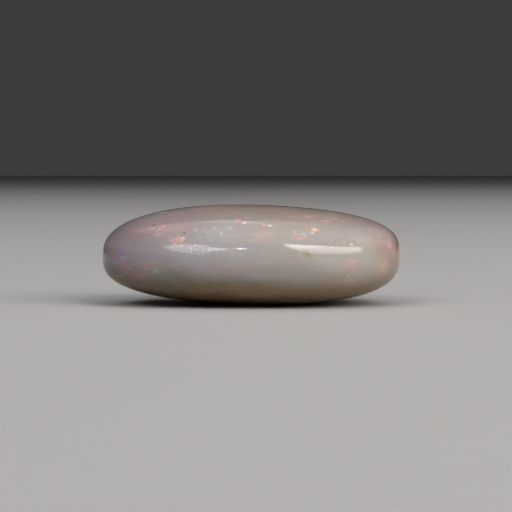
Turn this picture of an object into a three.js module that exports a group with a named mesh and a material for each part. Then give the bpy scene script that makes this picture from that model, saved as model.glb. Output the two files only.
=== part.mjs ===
// A polished milky opal: one solid stone, cut as a long oval with a domed top and a rounded base.
// Millimetres, +Z up, +X along the stone. The origin is on the resting surface, under the middle
// of the stone's length and width.
import * as THREE from "three";

// Driving dimensions
const LENGTH = 17.0;
const WIDTH = 11.8;
const DOME_HEIGHT = 2.95; // from the widest level up to the top
const BASE_DEPTH = 2.8; // from the widest level down to where the base would end in a point
const WORN_FLAT_DEPTH = 0.035; // the rounded base is lapped away by this much, which leaves the resting flat
const GIRDLE_LEVEL = BASE_DEPTH - WORN_FLAT_DEPTH; // height of the widest level over the surface

// Seen from above the stone is an ellipse, a little fuller at its four diagonals and wider to the right.
const DIAGONAL_FULLNESS = 0.025;
const EGG = 0.03;

// The dome and the base each climb from the widest level to a peak that is off centre.
// Bluntness 2 is an ellipse, and a larger one gives a steeper side and a flatter top.
const DOME = {
  height: DOME_HEIGHT,
  peak: { x: -0.78, y: 0.2 },
  bluntness: { left: 2.5, right: 3.35, side: 2.08 },
};
const BASE = {
  height: BASE_DEPTH,
  peak: { x: 0.82, y: -0.12 },
  bluntness: { left: 3.05, right: 2.9, side: 2.15 },
};

// Mesh fineness
const AROUND = 88;
const DOME_RINGS = 18;
const BASE_RINGS = 16;
const RING_CROWDING = 1.25; // over 1 sets the rings closer together near the widest level

// The bluntness in the direction of a plan angle: 0 is the right end and 180 degrees the left end.
function bluntnessAt(cap, angle) {
  const along = Math.cos(angle);
  const end = along > 0 ? cap.bluntness.right : cap.bluntness.left;
  return cap.bluntness.side + (end - cap.bluntness.side) * along * along;
}

// A point of a cap at a plan angle. Climb goes from 0 at the widest level to a quarter turn at the peak.
// Its z is the height over the widest level, upwards for the dome and downwards for the base.
function capPoint(cap, angle, climb) {
  const fullness = 1 + (DIAGONAL_FULLNESS * (1 - Math.cos(4 * angle))) / 2;
  const reach = fullness * Math.cos(climb);
  const towardsPeak = Math.sin(climb) ** 2;
  const x = (LENGTH / 2) * Math.cos(angle) * reach + cap.peak.x * towardsPeak;
  const y =
    (WIDTH / 2) * Math.sin(angle) * (1 + EGG * Math.cos(angle)) * reach +
    cap.peak.y * towardsPeak;
  const z = cap.height * Math.sin(climb) ** (2 / bluntnessAt(cap, angle));
  return new THREE.Vector3(x, y, z);
}

// The climb at which the base meets the resting flat, which is the same height all round.
function climbAtFlat(angle) {
  const level = GIRDLE_LEVEL / BASE_DEPTH;
  return Math.asin(level ** (bluntnessAt(BASE, angle) / 2));
}

// Rings of points from the lowest to the highest, each ring going round once.
function stoneRings() {
  const rings = [];
  for (let ring = BASE_RINGS; ring > 0; ring--) {
    const share = (ring / BASE_RINGS) ** RING_CROWDING;
    rings.push(
      ringOf((angle) => {
        const p = capPoint(BASE, angle, climbAtFlat(angle) * share);
        return p.setZ(ring === BASE_RINGS ? 0 : GIRDLE_LEVEL - p.z);
      }),
    );
  }
  for (let ring = 0; ring < DOME_RINGS; ring++) {
    const share = (ring / DOME_RINGS) ** RING_CROWDING;
    rings.push(
      ringOf((angle) => {
        const p = capPoint(DOME, angle, (Math.PI / 2) * share);
        return p.setZ(GIRDLE_LEVEL + p.z);
      }),
    );
  }
  return rings;
}

function ringOf(pointAt) {
  return Array.from({ length: AROUND }, (_, i) =>
    pointAt((2 * Math.PI * i) / AROUND),
  );
}

// One closed surface: the flat, the rings joined in bands, and the dome's peak.
function stoneGeometry() {
  const rings = stoneRings();
  const points = rings.flat();
  const flatMiddle = points.push(new THREE.Vector3(BASE.peak.x, BASE.peak.y, 0)) - 1;
  const top = new THREE.Vector3(DOME.peak.x, DOME.peak.y, GIRDLE_LEVEL + DOME_HEIGHT);
  const peak = points.push(top) - 1;
  const last = (rings.length - 1) * AROUND;
  const triangles = [];
  for (let i = 0; i < AROUND; i++) {
    const next = (i + 1) % AROUND;
    triangles.push(flatMiddle, next, i);
    triangles.push(peak, last + i, last + next);
    for (let low = 0; low < last; low += AROUND) {
      const high = low + AROUND;
      triangles.push(low + i, low + next, high + next);
      triangles.push(low + i, high + next, high + i);
    }
  }
  const geometry = new THREE.BufferGeometry().setFromPoints(points);
  geometry.setIndex(triangles);
  geometry.computeVertexNormals();
  return geometry;
}

const milkyOpal = new THREE.MeshStandardMaterial({
  color: new THREE.Color().setRGB(0.68, 0.62, 0.6, THREE.SRGBColorSpace),
  roughness: 0.15,
  metalness: 0,
});

const stone = new THREE.Mesh(stoneGeometry(), milkyOpal);
stone.name = "opal_stone";

const opal = new THREE.Group();
opal.add(stone);

export default opal;
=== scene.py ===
# A polished milky opal with play of colour, resting on a pale floor.
# Shapes are worked out in millimetres in the stone's own frame and go to Blender in metres. The stone
# lies along X, and its front, which the camera faces, looks towards -Y.
from math import asin, cos, pi, radians, sin

import bpy
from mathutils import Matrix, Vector, noise


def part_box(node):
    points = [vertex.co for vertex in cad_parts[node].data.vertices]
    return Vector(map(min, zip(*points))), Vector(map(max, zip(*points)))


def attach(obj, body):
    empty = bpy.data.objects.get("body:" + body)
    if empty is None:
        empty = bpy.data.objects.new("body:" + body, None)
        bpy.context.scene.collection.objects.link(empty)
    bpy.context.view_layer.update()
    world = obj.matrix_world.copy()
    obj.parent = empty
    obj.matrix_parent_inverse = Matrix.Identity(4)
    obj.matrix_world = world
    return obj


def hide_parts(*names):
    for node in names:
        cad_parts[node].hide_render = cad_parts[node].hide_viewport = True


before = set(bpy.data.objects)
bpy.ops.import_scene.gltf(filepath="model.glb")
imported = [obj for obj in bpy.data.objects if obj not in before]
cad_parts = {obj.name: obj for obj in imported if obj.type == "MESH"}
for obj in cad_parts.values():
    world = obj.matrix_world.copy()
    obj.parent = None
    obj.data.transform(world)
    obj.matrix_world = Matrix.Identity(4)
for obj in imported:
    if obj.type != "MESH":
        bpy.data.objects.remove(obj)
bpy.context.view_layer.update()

MM = 0.001
X, Y, Z = 0, 1, 2

# The stone, as its solid has it. Its length and height are the solid's own.
stone_low, stone_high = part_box("opal_stone")
LENGTH = (stone_high[X] - stone_low[X]) / MM
HEIGHT = (stone_high[Z] - stone_low[Z]) / MM
WIDTH = 11.8  # before the oval is made egg-shaped
DOME_HEIGHT = 2.95  # from the widest level up to the top
BASE_DEPTH = 2.8  # from the widest level down to where the base would end in a point
GIRDLE_LEVEL = HEIGHT - DOME_HEIGHT  # height of the widest level over the floor
DIAGONAL_FULLNESS = 0.025  # how much further than an ellipse the oval reaches on its diagonals
EGG = 0.03  # how much the oval widens towards its right end and narrows towards its left

# The dome and the base: height over or under the widest level, x and y of the peak, and bluntness.
# A bluntness of 2 gives an ellipse, and a greater one a fuller curve.
DOME = {
    "height": DOME_HEIGHT,
    "peak": (-0.78, 0.2),
    "bluntness": {"left": 2.5, "right": 3.35, "side": 2.08},
}
BASE = {
    "height": BASE_DEPTH,
    "peak": (0.82, -0.12),
    "bluntness": {"left": 3.05, "right": 2.9, "side": 2.15},
}

HALVINGS = 30  # steps of the search for the front's surface

# The fine mesh, and the small unevenness that hand polishing leaves
AROUND = 400
DOME_RINGS = 110
BASE_RINGS = 90
RING_CROWDING = 1.15  # above 1 it crowds the rings towards the widest level
POLISH_WAVE_DEPTH = 0.02  # how far the surface dips between its crests
POLISH_WAVE_LENGTH = 3.2
POLISH_WAVE_RISE = 0.6  # height over the floor from which the waves have their full depth
# The worn stretch is where the left highlight falls. Besides a deeper orange peel, its colour carries pale
# and dark grains, a painted stand-in for the glints and gaps of that highlight.
WORN_STRETCH = (-3.1, 3.3)  # x and z of the middle of the part of the front where the polish is worn
WORN_SIZE = (1.1, 0.28)  # half length and half height
GLINT_GRAIN = 0.11  # size of the pale and dark grains in it
PEEL_DEPTH = 0.005  # of the orange peel, where the polish is worn
PEEL_SIZE = 0.16
GLOSS = (0.05, 0.11)  # roughness of the best polish and of the dullest

# The milkiness: how much of the light scatters inside the stone, and how far red, green and blue go
SCATTERED = 0.7
SCATTER_REACH = (1.5, 1.15, 0.9)
REFRACTIVE_INDEX = 1.45

# The camera, a long lens close to the height of the stone
CAMERA_DISTANCE = 110.0
CAMERA_ELEVATION = 2.5
CAMERA_TARGET = (0.28, 0.0, 2.76)
LENS = 135.0
SENSOR = 36.0


def linear(red, green, blue):
    """A colour of 0 to 255 as a screen shows it, in the linear values that the shaders take."""
    return tuple(((c / 255 + 0.055) / 1.055) ** 2.4 for c in (red, green, blue)) + (1.0,)


def bluntness_at(cap, angle):
    along = cos(angle)
    end = cap["bluntness"]["right" if along > 0 else "left"]
    side = cap["bluntness"]["side"]
    return side + (end - side) * along * along


def cap_point(cap, angle, climb):
    """A point of the dome or the base; its z is the height over or under the widest level."""
    reach = (1 + DIAGONAL_FULLNESS * (1 - cos(4 * angle)) / 2) * cos(climb)
    towards_peak = sin(climb) ** 2
    x = LENGTH / 2 * cos(angle) * reach + cap["peak"][0] * towards_peak
    y = WIDTH / 2 * sin(angle) * (1 + EGG * cos(angle)) * reach + cap["peak"][1] * towards_peak
    z = cap["height"] * sin(climb) ** (2 / bluntness_at(cap, angle))
    return x, y, z


def dome_point(angle, share):
    x, y, z = cap_point(DOME, angle, pi / 2 * share)
    return Vector((x, y, GIRDLE_LEVEL + z))


def base_point(angle, share):
    """Share 1 is the rim of the resting flat."""
    level = GIRDLE_LEVEL / BASE_DEPTH
    climb_at_flat = asin(level ** (bluntness_at(BASE, angle) / 2))
    x, y, z = cap_point(BASE, angle, climb_at_flat * share)
    return Vector((x, y, max(GIRDLE_LEVEL - z, 0.0)))


def front_of_stone(x, z):
    """The point of the stone's front surface with that x and z, found by halving a range of plan angles."""
    cap = DOME if z > GIRDLE_LEVEL else BASE
    level = abs(z - GIRDLE_LEVEL) / cap["height"]
    left, right = -pi, 0.0
    for _ in range(HALVINGS):
        angle = (left + right) / 2
        climb = asin(level ** (bluntness_at(cap, angle) / 2))
        point = cap_point(cap, angle, climb)
        if point[0] < x:
            left = angle
        else:
            right = angle
    return Vector((x, point[1], z))


def stone_mesh():
    """The stone's skin, in rings from the flat up to the dome's peak, a little uneven from polishing."""
    rings = []
    for ring in range(BASE_RINGS, 0, -1):
        share = (ring / BASE_RINGS) ** RING_CROWDING
        rings.append([base_point(2 * pi * i / AROUND, share) for i in range(AROUND)])
    for ring in range(DOME_RINGS):
        share = (ring / DOME_RINGS) ** RING_CROWDING
        rings.append([dome_point(2 * pi * i / AROUND, share) for i in range(AROUND)])
    points = [point for ring in rings for point in ring]
    points.append(Vector((*BASE["peak"], 0.0)))
    points.append(Vector((*DOME["peak"], GIRDLE_LEVEL + DOME_HEIGHT)))
    flat_middle, peak = len(points) - 2, len(points) - 1
    last = (len(rings) - 1) * AROUND
    faces = []
    for i in range(AROUND):
        after = (i + 1) % AROUND
        faces.append((flat_middle, after, i))
        faces.append((peak, last + i, last + after))
        for low in range(0, last, AROUND):
            high = low + AROUND
            faces.append((low + i, low + after, high + after, high + i))
    mesh = bpy.data.meshes.new("opal_stone_polished")
    mesh.from_pydata([polished(p) * MM for p in points], [], faces)
    mesh.shade_smooth()
    mesh.update()
    return mesh


def polished(point):
    """The point, sunk a little where the polish has worn deeper. The resting flat stays as it is."""
    wave = noise.noise(point / POLISH_WAVE_LENGTH, noise_basis="PERLIN_ORIGINAL")
    centre = Vector((0, 0, GIRDLE_LEVEL))
    outward = (point - centre).normalized()
    clear_of_flat = min(point.z / POLISH_WAVE_RISE, 1.0)
    return point - outward * POLISH_WAVE_DEPTH * (0.5 + 0.5 * wave) * clear_of_flat


class Shader:
    """A material being wired up. An input is a number, a colour, a vector or another node's output."""

    def __init__(self, name):
        self.material = bpy.data.materials.new(name)
        self.material.use_nodes = True
        self.tree = self.material.node_tree
        self.tree.nodes.clear()

    def node(self, kind, inputs, **settings):
        made = self.tree.nodes.new("ShaderNode" + kind)
        for setting, value in settings.items():
            setattr(made, setting, value)
        for socket, value in inputs.items():
            if isinstance(value, bpy.types.NodeSocket):
                self.tree.links.new(value, made.inputs[socket])
            else:
                made.inputs[socket].default_value = value
        return made

    def point(self, stretch=(1, 1, 1)):
        """The place in the stone's frame, in millimetres, each axis stretched by a factor."""
        place = self.node("TexCoord", {}).outputs["Object"]
        scale = tuple(factor / MM for factor in stretch)
        return self.vector("MULTIPLY", place, scale)

    def vector(self, operation, a, b=(0, 0, 0)):
        made = self.node("VectorMath", {0: a, 1: b}, operation=operation)
        return made.outputs["Value" if operation in ("LENGTH", "DISTANCE") else "Vector"]

    def math(self, operation, a, b=0.0):
        return self.node("Math", {0: a, 1: b}, operation=operation).outputs[0]

    def product(self, *factors):
        result = factors[0]
        for factor in factors[1:]:
            result = self.math("MULTIPLY", result, factor)
        return result

    def largest(self, values):
        result = values[0]
        for value in values[1:]:
            result = self.math("MAXIMUM", result, value)
        return result

    def step(self, value, start, end, low=0.0, high=1.0):
        """Goes smoothly from low at start to high at end, and stays there beyond them."""
        inputs = {0: value, 1: start, 2: end, 3: low, 4: high}
        return self.node("MapRange", inputs, interpolation_type="SMOOTHSTEP").outputs[0]

    def mix(self, share, a, b):
        return self.node("Mix", {0: share, 6: a, 7: b}, data_type="RGBA").outputs[2]

    def cloud(self, place, size, detail=3.0, rough=0.5, bend=0.0):
        """Soft noise of 0 to 1 about 0.5, with lumps of about that size."""
        shape = {"Scale": 1 / size, "Detail": detail, "Roughness": rough, "Distortion": bend}
        return self.node("TexNoise", {"Vector": place, **shape}).outputs[0]

    def axis(self, place, index):
        return self.node("SeparateXYZ", {0: place}).outputs[index]

    def choose(self, chance, stops):
        """One of several colours. Each stop is the chance from which its colour counts, and the colour."""
        chooser = self.node("ValToRGB", {0: chance})
        ramp = chooser.color_ramp
        ramp.interpolation = "CONSTANT"
        ramp.elements.remove(ramp.elements[1])
        ramp.elements[0].position, ramp.elements[0].color = stops[0]
        for position, colour in stops[1:]:
            ramp.elements.new(position).color = colour
        return chooser.outputs[0]

    def finish(self, surface):
        self.node("OutputMaterial", {"Surface": surface})
        return self.material


# Body colours, as the stone scatters them. Some are laid on as painted shade or painted light, as noted
# where they are used.
BEIGE = linear(162, 156, 151)
RIGHT_LIT_BEIGE = linear(167, 158, 151)
BLUSH = linear(172, 155, 149)
ASH = linear(156, 153, 154)
VIOLET_GREY = linear(150, 139, 147)
ROSE_GREY = linear(151, 136, 137)
CROWN_TAN = linear(153, 138, 130)
RUSSET_GREY = linear(114, 96, 89)
# Painted shade, laid on the left end of the stone
SHADED_END = linear(90, 80, 82)
RIGHT_END_TAN = linear(144, 122, 114)
WARM_BASE = linear(135, 113, 80)
OLIVE_BASE = linear(110, 86, 44)
SHADED_BASE = linear(84, 73, 65)

# The colours of the fire, and of the pits and the speck of rock
ROSE = linear(230, 162, 164)
FLAME = linear(240, 172, 148)
EMBER = linear(182, 124, 102)
LEAF = linear(128, 176, 148)
SEA = linear(176, 204, 200)
LILAC = linear(142, 118, 182)
PEARL = linear(252, 240, 236)
MILK = linear(204, 199, 196)
# painted glint: the pale grains of the highlight on the worn stretch
GLINT_WHITE = linear(232, 238, 240)
DUSK = linear(92, 86, 88)
OLIVE_HALO = linear(168, 156, 126)
OLIVE_ROCK = linear(126, 114, 78)

# Hues that come in along the stone: hue, and the places between which it comes in
LEFT_HUES = [(ASH, 1.2, -0.6), (VIOLET_GREY, -2.8, -7.2)]
# painted light: the right part of the stone made a little lighter
RIGHT_HUES = [(RIGHT_LIT_BEIGE, 3.2, 6.0), (RIGHT_END_TAN, 7.0, 8.8)]

# Soft stretches of the front: hue, x, z, half length, half height, strength
SOFT_STRETCHES = [
    (BLUSH, 0.2, 4.3, 1.2, 0.5, 0.8),
    (MILK, 5.2, 2.75, 1.5, 0.4, 0.25),
    (DUSK, 2.2, 2.42, 1.8, 0.3, 0.16),
    (DUSK, -6.2, 2.6, 1.1, 0.35, 0.17),
]

# Tints laid over the body in this order: hue, strength, the heights between which it comes in going
# up or down the stone, and the places along the stone between which it comes in. The crown and the
# base run the whole length.
WHOLE_LENGTH = (-20, -19)
TINTS = [
    (ROSE_GREY, 0.85, (3.5, 4.6), (3.0, 6.0)),
    (CROWN_TAN, 1.0, (4.0, 5.6), WHOLE_LENGTH),
    (ROSE_GREY, 1.0, (3.4, 4.6), (-1.2, -4.4)),
    # painted shade over the top of the left end
    (SHADED_END, 0.35, (3.2, 4.6), (-4.5, -7.5)),
    # partly painted shade: the lower left of the front darkened in russet grey
    (RUSSET_GREY, 1.0, (3.0, 1.6), (-2.5, -5.0)),
    # painted shade down the whole height of the left end
    (SHADED_END, 1.0, (3.8, 1.8), (-6.5, -8.4)),
    (RUSSET_GREY, 0.4, (3.0, 1.4), (5.5, 8.0)),
    (WARM_BASE, 1.0, (2.2, 0.9), WHOLE_LENGTH),
    (SHADED_BASE, 0.8, (2.0, 0.6), (-1.5, -6.0)),
    (OLIVE_BASE, 1.0, (1.0, 0.35), WHOLE_LENGTH),
]

# How far the slow clouds in the body shift its hues along the stone and up it
CLOUD_SHIFT_ALONG = 3.0
CLOUD_SHIFT_UP = 1.4

# Patches of the front that stand out, listed by colour: x, z, half length, half height,
# strength. A strong one has a grainy core, and a weak one is only a soft glow.
PATCHES = [
    (EMBER, [
        (-5.66, 2.35, 0.38, 0.14, 0.80),
        (-5.24, 2.46, 0.24, 0.09, 0.50),
        (-5.12, 2.54, 0.16, 0.07, 0.50),
        (-5.30, 2.05, 0.70, 0.30, 0.30),
        (-7.05, 2.42, 0.24, 0.22, 0.60),
        (-5.95, 1.84, 0.80, 0.26, 0.50),
        (-7.58, 3.09, 0.11, 0.28, 0.60),
        (-1.45, 2.25, 1.00, 0.40, 0.32),
        (7.21, 1.76, 0.28, 0.30, 0.45),
        (3.00, 4.70, 1.00, 0.30, 0.30),
    ]),
    (LEAF, [
        (-5.18, 1.76, 0.20, 0.14, 0.40),
        (-5.00, 2.02, 0.10, 0.08, 0.48),
        (-5.34, 2.06, 0.08, 0.08, 0.55),
        (-4.30, 1.66, 0.60, 0.24, 0.30),
        (-4.52, 3.86, 0.14, 0.16, 0.40),
        (-4.31, 3.69, 0.16, 0.12, 0.40),
        (-3.80, 4.22, 0.34, 0.14, 0.40),
        (2.47, 4.74, 0.09, 0.08, 0.90),
        (0.82, 4.37, 0.20, 0.08, 0.40),
        (3.50, 4.64, 0.28, 0.09, 0.45),
        (4.10, 5.04, 0.32, 0.09, 0.45),
        (5.24, 4.78, 0.16, 0.08, 0.55),
        (5.70, 4.64, 0.24, 0.10, 0.42),
        (-1.60, 4.66, 0.20, 0.05, 0.50),
        (7.50, 3.00, 0.26, 0.24, 0.30),
    ]),
    (SEA, [
        (-5.16, 2.16, 0.10, 0.07, 0.60),
        (-4.86, 1.90, 0.10, 0.08, 0.45),
        (-2.00, 4.48, 0.16, 0.06, 0.70),
        (-1.15, 4.47, 0.18, 0.08, 0.55),
        (-2.20, 4.25, 0.60, 0.36, 0.35),
        (-1.40, 4.30, 0.50, 0.32, 0.25),
        (2.88, 4.16, 0.20, 0.08, 0.55),
        (5.80, 2.95, 0.90, 0.32, 0.30),
        (5.80, 3.75, 0.80, 0.42, 0.24),
        (-4.88, 1.90, 0.90, 0.40, 0.32),
    ]),
    (LILAC, [
        (-7.42, 2.64, 0.40, 0.11, 0.85),
        (-6.98, 2.68, 0.20, 0.10, 0.60),
        (-7.26, 3.06, 0.18, 0.24, 0.55),
        (-5.20, 3.02, 0.60, 0.24, 0.35),
        (-0.42, 4.95, 0.16, 0.10, 1.00),
        (3.66, 4.12, 0.40, 0.15, 0.35),
        (-0.28, 3.36, 0.10, 0.05, 0.35),
    ]),
    (ROSE, [
        (-5.45, 4.43, 0.22, 0.08, 0.70),
        (-4.85, 4.56, 0.26, 0.08, 0.70),
        (-4.60, 4.45, 1.30, 0.21, 0.35),
        (-5.07, 4.12, 0.30, 0.14, 0.36),
        (-6.12, 4.30, 0.60, 0.16, 0.30),
        (-4.32, 3.88, 0.18, 0.11, 0.60),
        (-4.15, 3.70, 0.11, 0.09, 0.80),
        (-3.98, 3.95, 0.16, 0.11, 0.80),
        (-1.51, 4.10, 0.08, 0.08, 0.65),
        (-0.96, 3.70, 0.10, 0.08, 0.45),
        (-1.62, 3.75, 0.10, 0.10, 0.35),
        (-0.26, 5.04, 0.20, 0.06, 0.70),
        (-0.72, 4.93, 0.22, 0.10, 0.75),
        (0.74, 4.67, 0.11, 0.10, 0.85),
        (2.33, 5.09, 0.20, 0.07, 0.50),
        (2.56, 4.98, 0.08, 0.05, 0.45),
        (4.14, 4.84, 0.26, 0.06, 0.80),
        (4.64, 4.96, 0.24, 0.09, 0.60),
        (2.47, 4.18, 0.20, 0.10, 0.55),
        (2.95, 4.06, 0.12, 0.10, 0.65),
        (2.66, 3.96, 0.16, 0.08, 0.65),
        (3.06, 4.61, 0.05, 0.24, 0.40),
        (5.62, 2.68, 0.36, 0.12, 0.58),
        (5.45, 1.58, 0.24, 0.10, 0.44),
        (5.35, 1.85, 0.10, 0.10, 0.55),
        (5.70, 2.15, 0.12, 0.12, 0.45),
        (6.00, 2.34, 0.08, 0.08, 0.60),
        (5.40, 2.52, 0.22, 0.22, 0.40),
        (6.02, 3.75, 0.14, 0.10, 0.35),
        (7.75, 3.52, 0.20, 0.36, 0.70),
        (7.40, 3.42, 0.42, 0.38, 0.30),
        (-0.37, 2.50, 0.30, 0.03, 0.45),
        (-0.37, 2.36, 0.30, 0.03, 0.45),
        (-0.82, 2.31, 0.10, 0.28, 0.30),
    ]),
    (FLAME, [
        (-3.85, 3.82, 0.24, 0.12, 0.60),
        (-0.37, 4.80, 0.13, 0.09, 0.90),
        (3.50, 4.38, 0.20, 0.09, 0.80),
        (3.17, 5.10, 0.36, 0.07, 0.60),
        (8.04, 3.05, 0.20, 0.40, 0.44),
        (7.43, 2.36, 0.34, 0.50, 0.46),
        (7.32, 2.64, 0.28, 0.34, 0.34),
    ]),
    (PEARL, [
        (-5.05, 4.40, 0.06, 0.04, 0.60),
        (-5.15, 4.14, 0.06, 0.05, 0.45),
        (-4.10, 3.92, 0.06, 0.05, 0.55),
        (-3.72, 3.95, 0.08, 0.08, 0.85),
        (-4.22, 3.66, 0.05, 0.05, 0.60),
        (-1.62, 4.24, 0.10, 0.07, 0.50),
        (-1.08, 4.58, 0.08, 0.06, 0.40),
        (-0.35, 4.76, 0.09, 0.05, 0.90),
        (1.01, 4.62, 0.12, 0.045, 1.00),
        (3.36, 4.24, 0.06, 0.06, 0.85),
        (3.48, 4.44, 0.12, 0.03, 0.70),
        (2.40, 4.30, 0.10, 0.05, 0.45),
        (-2.99, 4.41, 0.03, 0.16, 0.55),
        (-3.14, 4.41, 0.02, 0.11, 0.50),
        (-7.16, 2.82, 0.07, 0.06, 0.50),
        (5.50, 3.60, 0.10, 0.06, 0.60),
        (5.12, 4.80, 0.06, 0.04, 0.50),
        (5.48, 4.68, 0.05, 0.04, 0.45),
        (5.12, 3.74, 0.05, 0.05, 0.45),
        (5.20, 1.50, 0.90, 0.30, 0.25),
        (6.60, 3.95, 0.80, 0.45, 0.18),
        # painted highlight: a faint pale glow round the spark's glint
        (-1.10, 3.30, 0.90, 0.25, 0.14),
    ]),
    (OLIVE_HALO, [(2.84, 3.32, 0.22, 0.20, 0.90), (3.10, 3.14, 0.26, 0.24, 0.90)]),
    (OLIVE_ROCK, [
        (2.94, 3.24, 0.12, 0.10, 0.95),
        (3.08, 3.12, 0.14, 0.10, 0.95),
        (3.20, 3.02, 0.10, 0.08, 0.50),
    ]),
    (DUSK, [
        (-5.39, 4.62, 0.08, 0.06, 1.00),
        (-3.66, 4.22, 0.07, 0.06, 0.85),
        (-2.01, 2.54, 0.09, 0.07, 0.55),
    ]),
]

PATCH_GLOW = 0.4  # strength of the glow round the core, as a share of the patch's cover
CORE_COVER = (0.2, 0.6)  # cover at which the core begins and at which it is full
CORE_FALL = 0.6  # power of the cover that the core's strength follows
GRAIN_SIZE = 0.08
FAINTEST_GRAIN = 0.35
TEAR_REACH = (0.3, 0.2, 0.2)  # how widely the rims of patches and flakes are torn
TEARS_PER_MM = 6.0

# Stretches of the front where small sparks crowd: x, z, radius, share of the sparks that are lit
SPARK_FIELDS = [
    (-4.9, 4.3, 0.9, 0.35),
    (-4.0, 3.9, 1.0, 0.60),
    (-2.0, 4.3, 1.4, 0.75),
    (-1.6, 3.7, 0.9, 0.50),
    (-0.4, 4.8, 1.0, 0.40),
    (-0.4, 3.3, 0.9, 0.60),
    (2.7, 4.2, 1.1, 0.50),
    (3.9, 4.8, 1.4, 0.40),
    (4.3, 3.8, 0.7, 0.50),
    (5.5, 3.7, 0.7, 0.70),
    (-6.4, 2.7, 1.6, 0.45),
    (-5.4, 2.1, 1.3, 0.50),
    (-5.1, 1.9, 0.6, 0.90),
    (7.4, 2.7, 1.3, 0.35),
    (5.7, 2.5, 0.9, 0.35),
]

# Flakes and sparks are platelets. A place times this gives cells that are drawn out along the stone.
PLATELET_STRETCH = (0.6, 1, 1)

# The fire away from the front begins between these two y, and on the crown between these two z
BACK_FROM = (-1.2, 0.4)
CROWN_FROM = (4.4, 5.3)
CROWN_LEAD = 2.2  # how much further to the back a place on the crown counts

# Away from the front the fire comes in three sizes: cell size, how far from its middle a flake
# reaches as a share of the cell, and the strength of the faintest and of the brightest
FLAKE_LAYERS = [(2.4, 0.60, 0.08, 0.34), (0.9, 0.38, 0.12, 0.65), (0.45, 0.42, 0.14, 0.85)]
FLAKE_CORE = 0.08  # out to this share of its cell a flake has its full strength

# The hues of the flakes, each with the chance from which it counts
FIRE_HUES = [(0.0, ROSE), (0.32, FLAME), (0.52, EMBER), (0.60, LEAF), (0.76, SEA), (0.88, LILAC)]

# The sparks come in two sizes: cell size, strength of the faintest and of the brightest
SPARK_LAYERS = [(0.065, 0.04, 0.30), (0.12, 0.04, 0.34)]
SPARK_EDGE = (0.6, 0.2)  # shares of its cell at which a spark ends and has its full strength

# The hues of the sparks, each with the chance from which it counts
SPARK_HUES = [
    (0.0, ROSE),
    (0.14, FLAME),
    (0.21, MILK),
    (0.38, DUSK),
    (0.56, LEAF),
    (0.72, SEA),
    (0.86, LILAC),
]


def cover_of(shader, place, centre, half_length, half_height, strength):
    """How strongly an oval patch about a centre shows at a place; at its rim it is half faded.
    It reaches as far into the stone as its half length and half height together, because the skin
    curves away from the centre."""
    sizes = (1 / half_length, 1 / (half_length + half_height), 1 / half_height)
    offset = tuple(-c * s for c, s in zip(centre, sizes))
    scaled = shader.node("VectorMath", {0: place, 1: sizes, 2: offset}, operation="MULTIPLY_ADD")
    distance = shader.vector("LENGTH", scaled.outputs[0])
    return shader.step(distance, 2.0, 0.0, high=strength)


def body_colour(shader, place):
    """Milky beige, greyer to the left, rosy on the crown, tan underneath, with slow clouds in it.
    Painted shade darkens the left end and the lower left, and painted light makes the right part lighter.
    """
    slow = shader.cloud(shader.point((0.6, 1, 1.3)), size=2.4, detail=3, rough=0.5, bend=0.5)
    sway = shader.math("SUBTRACT", slow, 0.5)
    across = shader.math("ADD", shader.axis(place, X), shader.product(sway, CLOUD_SHIFT_ALONG))
    height = shader.math("ADD", shader.axis(place, Z), shader.product(sway, CLOUD_SHIFT_UP))
    colour = BEIGE
    for hue, start, full in LEFT_HUES:
        colour = shader.mix(shader.step(across, start, full), colour, hue)
    for hue, x, z, *oval in SOFT_STRETCHES:
        colour = shader.mix(cover_of(shader, place, front_of_stone(x, z), *oval), colour, hue)
    for hue, start, full in RIGHT_HUES:
        colour = shader.mix(shader.step(across, start, full), colour, hue)
    for hue, strength, up, along in TINTS:
        tint = shader.product(shader.step(height, *up), shader.step(across, *along), strength)
        colour = shader.mix(tint, colour, hue)
    return colour


def with_veils(shader, colour):
    """Thin drawn-out veils and a fine mottling, a little lighter or darker than the body."""
    veils = shader.cloud(shader.point((0.22, 0.6, 1.8)), size=0.9, detail=5, rough=0.6, bend=0.4)
    mottle = shader.cloud(shader.point((0.7, 1, 1)), size=0.3, detail=3, rough=0.6)
    for cloud, start, full, strength, hue in (
        (veils, 0.55, 0.8, 0.10, PEARL),
        (veils, 0.45, 0.2, 0.18, OLIVE_BASE),
        (mottle, 0.5, 0.7, 0.08, ROSE),
        (mottle, 0.5, 0.3, 0.08, SEA),
    ):
        colour = shader.mix(shader.step(cloud, start, full, high=strength), colour, hue)
    return colour


def with_patches(shader, colour, place):
    """Each patch is a soft glow with a grainy, brighter core."""
    _, chances = random_cells(shader, place, GRAIN_SIZE)
    grain = shader.step(chances[0], 0.0, 1.0, low=FAINTEST_GRAIN)
    for hue, patches in PATCHES:
        covers = [cover_of(shader, place, front_of_stone(x, z), *oval) for x, z, *oval in patches]
        cover = shader.largest(covers)
        fall = shader.math("POWER", cover, CORE_FALL)
        core = shader.product(shader.step(cover, *CORE_COVER), grain, fall)
        glow = shader.product(cover, PATCH_GLOW)
        colour = shader.mix(shader.math("MAXIMUM", core, glow), colour, hue)
    return colour


def away_from_front(shader, place):
    """Nothing where the patches are, and full on the top, the back and the far half of each end."""
    crown = shader.step(shader.axis(place, Z), *CROWN_FROM, high=CROWN_LEAD)
    reach = shader.math("ADD", shader.axis(place, Y), crown)
    return shader.step(reach, *BACK_FROM)


def random_cells(shader, place, size):
    """Cells of about that size: the distance from a cell's middle, and three chances of its own."""
    cells = shader.node("TexVoronoi", {"Vector": place, "Scale": 1 / size})
    chances = shader.node("SeparateColor", {0: cells.outputs["Color"]})
    return cells.outputs["Distance"], chances.outputs


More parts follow.
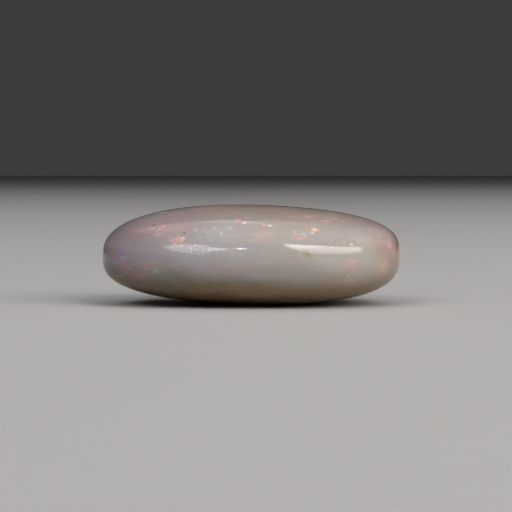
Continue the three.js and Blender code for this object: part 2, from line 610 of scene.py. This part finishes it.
def with_platelets(shader, colour, place, size, edge, strengths, density, hues, presence=1.0):
    """Platelets of one size, each of one hue. The density is the share of them that are lit, and the
    presence is how strongly those show."""
    distance, chances = random_cells(shader, place, size)
    lit = shader.math("LESS_THAN", chances[0], density)
    shape = shader.step(distance, *edge)
    strength = shader.step(chances[2], 0.0, 1.0, *strengths)
    cover = shader.product(lit, shape, strength, presence)
    return shader.mix(cover, colour, shader.choose(chances[1], hues))


def with_flakes(shader, colour, place, torn):
    """Fire in drifts on the parts that the patches leave out: soft glows, and torn flakes over them."""
    drifts = shader.cloud(place, size=3.2, detail=2)
    density = shader.step(drifts, 0.36, 0.60, low=0.15, high=0.85)
    drawn_out = shader.vector("MULTIPLY", torn, PLATELET_STRETCH)
    away = away_from_front(shader, place)
    for size, rim, *strengths in FLAKE_LAYERS:
        edge = (rim, FLAKE_CORE)
        colour = with_platelets(
            shader, colour, drawn_out, size, edge, strengths, density, FIRE_HUES, away
        )
    return colour


def spark_density(shader, place):
    """The share of the sparks that are lit: high in the fields of the front, in drifts elsewhere."""
    fields = []
    for x, z, radius, share in SPARK_FIELDS:
        distance = shader.vector("DISTANCE", place, tuple(front_of_stone(x, z)))
        fields.append(shader.step(distance, radius, 0.0, high=share))
    drifts = shader.cloud(place, size=2.6, detail=2)
    crowding = shader.step(drifts, 0.45, 0.68, low=0.04, high=0.4)
    fields.append(shader.product(crowding, away_from_front(shader, place)))
    return shader.largest(fields)


def with_worn_glint_grain(shader, colour, place, worn):
    """Fine pale and dark grains where the polish has worn: painted glints and gaps that stand in for the
    broken-up highlight there.
    """
    grain = shader.cloud(place, size=GLINT_GRAIN, detail=2, rough=0.7)
    pale = shader.product(worn, shader.step(grain, 0.52, 0.66, high=0.30))
    dark = shader.product(worn, shader.step(grain, 0.48, 0.34, high=0.26))
    return shader.mix(dark, shader.mix(pale, colour, GLINT_WHITE), DUSK)


def with_sparks(shader, colour, place):
    """Tiny platelets, as the fields and the drifts have them."""
    density = spark_density(shader, place)
    drawn_out = shader.point(PLATELET_STRETCH)
    for size, *strengths in SPARK_LAYERS:
        colour = with_platelets(
            shader, colour, drawn_out, size, SPARK_EDGE, strengths, density, SPARK_HUES
        )
    return colour


def torn_place(shader, place):
    """The place moved about at random, by half of each reach at most, which tears the patches' rims."""
    tears = shader.node("TexNoise", {"Vector": place, "Scale": TEARS_PER_MM, "Detail": 2})
    jitter = shader.vector("SUBTRACT", tears.outputs["Color"], (0.5, 0.5, 0.5))
    return shader.vector("ADD", place, shader.vector("MULTIPLY", jitter, TEAR_REACH))


def worn_stretch(shader, place):
    """Full on the stretch of the front where the polish has worn, and nothing away from it."""
    cover = cover_of(shader, place, front_of_stone(*WORN_STRETCH), *WORN_SIZE, 1.0)
    return shader.step(cover, 0.0, 0.6)


def polish_bump(shader, place, worn):
    """Orange peel left by the polish, deeper where it has worn."""
    peel = shader.cloud(shader.point((0.7, 1, 1)), size=PEEL_SIZE, detail=3, rough=0.6)
    height = shader.product(peel, shader.step(worn, 0.0, 1.0, low=0.2))
    relief = {"Strength": 1.0, "Distance": PEEL_DEPTH * MM, "Height": height}
    return shader.node("Bump", relief).outputs[0]


def opal_material():
    shader = Shader("milky_opal")
    place = shader.point()
    torn = torn_place(shader, place)
    worn = worn_stretch(shader, place)
    colour = body_colour(shader, place)
    colour = with_veils(shader, colour)
    colour = with_patches(shader, colour, torn)
    colour = with_flakes(shader, colour, place, torn)
    colour = with_sparks(shader, colour, place)
    colour = with_worn_glint_grain(shader, colour, place, worn)
    skin = shader.node("BsdfPrincipled", {
        "Base Color": colour,
        "Roughness": shader.step(shader.cloud(place, size=1.5, detail=4), 0.3, 0.8, *GLOSS),
        "IOR": REFRACTIVE_INDEX,
        "Normal": polish_bump(shader, place, worn),
        "Subsurface Weight": SCATTERED,
        "Subsurface Radius": SCATTER_REACH,
        "Subsurface Scale": MM,
    })
    return shader.finish(skin.outputs[0])


def make_stone():
    stone = bpy.data.objects.new("opal_stone_polished", stone_mesh())
    bpy.context.scene.collection.objects.link(stone)
    stone.data.materials.append(opal_material())
    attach(stone, "root")
    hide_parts("opal_stone")


FLOOR_RADIUS = 4000.0
FLOOR_AROUND = 64
FLOOR_GREYS = (linear(176, 175, 174), linear(184, 183, 182))
FLOOR_CLOUD = 60.0  # size of the clouds in which the two greys meet


def floor_material():
    shader = Shader("pale_floor")
    colour = shader.mix(shader.cloud(shader.point(), size=FLOOR_CLOUD, detail=2), *FLOOR_GREYS)
    paper = shader.node("BsdfPrincipled", {"Base Color": colour, "Roughness": 0.8})
    return shader.finish(paper.outputs[0])


def make_floor():
    rim = []
    for i in range(FLOOR_AROUND):
        angle = 2 * pi * i / FLOOR_AROUND
        rim.append(Vector((cos(angle), sin(angle), 0)) * FLOOR_RADIUS * MM)
    mesh = bpy.data.meshes.new("floor")
    mesh.from_pydata(rim, [], [tuple(range(FLOOR_AROUND))])
    floor = bpy.data.objects.new("floor", mesh)
    bpy.context.scene.collection.objects.link(floor)
    mesh.materials.append(floor_material())


# The studio: soft panels that only light and reflect. Their outlines are what the stone's gloss shows.
# The overhead ones lie level and are drawn by x and y. The others stand upright in front of the stone,
# parallel to its length, and are drawn by x and z.
OVERHEAD_HEIGHT = 600
RIM_LAMP_HEIGHT = 590
SOFTBOX_DISTANCE = 286
SPARK_LAMP_DISTANCE = 300
OVERHEAD = [(-350, -SOFTBOX_DISTANCE), (350, -SOFTBOX_DISTANCE), (350, 460), (-350, 460)]
RIM_LAMP = [
    (-115, 345), (-85, 405), (-60, 415), (-20, 405), (-5, 380), (12, 330),
    (12, 390), (-5, 440), (-20, 465), (-60, 475), (-85, 465), (-115, 405),
]
RIGHT_SOFTBOX = [
    (88, 535), (155, 465), (215, 410), (300, 345), (450, 325), (725, 410), (1100, 480),
    (870, 175), (570, 95), (245, 85), (140, 120), (112, 190), (90, 340),
]
LEFT_SOFTBOX = [
    (-455, 380), (-420, 520), (-350, 570), (-215, 520), (-155, 395), (-105, 300), (-72, 264),
    (-72, 238), (-105, 222), (-115, 170), (-140, 110), (-180, 115), (-235, 165), (-320, 240),
]
SPARK_LAMP = [(-53, 309), (-31, 309), (-31, 289), (-53, 289)]
PANEL_WHITE = linear(255, 253, 251)
DIM_ROOM = (0.045, 0.045, 0.047, 1.0)


def level(height, outline):
    return [(x, y, height) for x, y in outline]


def upright(distance, outline):
    return [(x, -distance, z) for x, z in outline]


def panel(name, corners, strength, fades=()):
    """A glowing sheet. Each fade is an axis, the places along it where the glow starts and stops to
    change, and the share of the glow that is left beyond."""
    shader = Shader(name)
    glow = strength
    for axis, start, stop, share in fades:
        fade = shader.step(shader.axis(shader.point(), axis), start, stop, 1.0, share)
        glow = shader.product(fade, glow)
    light = shader.node("Emission", {"Color": PANEL_WHITE, "Strength": glow})
    mesh = bpy.data.meshes.new(name)
    mesh.from_pydata([Vector(c) * MM for c in corners], [], [tuple(range(len(corners)))])
    mesh.materials.append(shader.finish(light.outputs[0]))
    sheet = bpy.data.objects.new(name, mesh)
    bpy.context.scene.collection.objects.link(sheet)
    sheet.visible_camera = False


def make_lights():
    panel("overhead_softbox", level(OVERHEAD_HEIGHT, OVERHEAD), strength=0.76)
    rim_fades = [(X, -75, -115, 0.3)]
    panel("overhead_rim_lamp", level(RIM_LAMP_HEIGHT, RIM_LAMP), strength=1.8, fades=rim_fades)
    right_fades = [(Z, 400, 120, 0.5), (X, 450, 900, 0.6)]
    right_outline = upright(SOFTBOX_DISTANCE, RIGHT_SOFTBOX)
    panel("right_softbox", right_outline, strength=11.0, fades=right_fades)
    left_fades = [(Z, 480, 380, 0.75), (Z, 260, 110, 0.45), (X, -150, -110, 1.7)]
    left_outline = upright(SOFTBOX_DISTANCE, LEFT_SOFTBOX)
    panel("left_softbox", left_outline, strength=6.0, fades=left_fades)
    panel("spark_lamp", upright(SPARK_LAMP_DISTANCE, SPARK_LAMP), strength=90.0)
    world = bpy.data.worlds.new("dim_studio")
    world.use_nodes = True
    world.node_tree.nodes["Background"].inputs["Color"].default_value = DIM_ROOM
    bpy.context.scene.world = world


def make_camera():
    camera = bpy.data.objects.new("camera", bpy.data.cameras.new("camera"))
    bpy.context.scene.collection.objects.link(camera)
    tilt = radians(CAMERA_ELEVATION)
    away = Vector((0, -cos(tilt), sin(tilt)))
    camera.location = (Vector(CAMERA_TARGET) + away * CAMERA_DISTANCE) * MM
    camera.rotation_euler = (-away).to_track_quat("-Z", "Y").to_euler()
    camera.data.lens = LENS
    camera.data.sensor_width = SENSOR
    camera.data.clip_start = MM
    bpy.context.scene.camera = camera
    bpy.context.scene.view_settings.view_transform = "Standard"


make_camera()
make_stone()
make_floor()
make_lights()
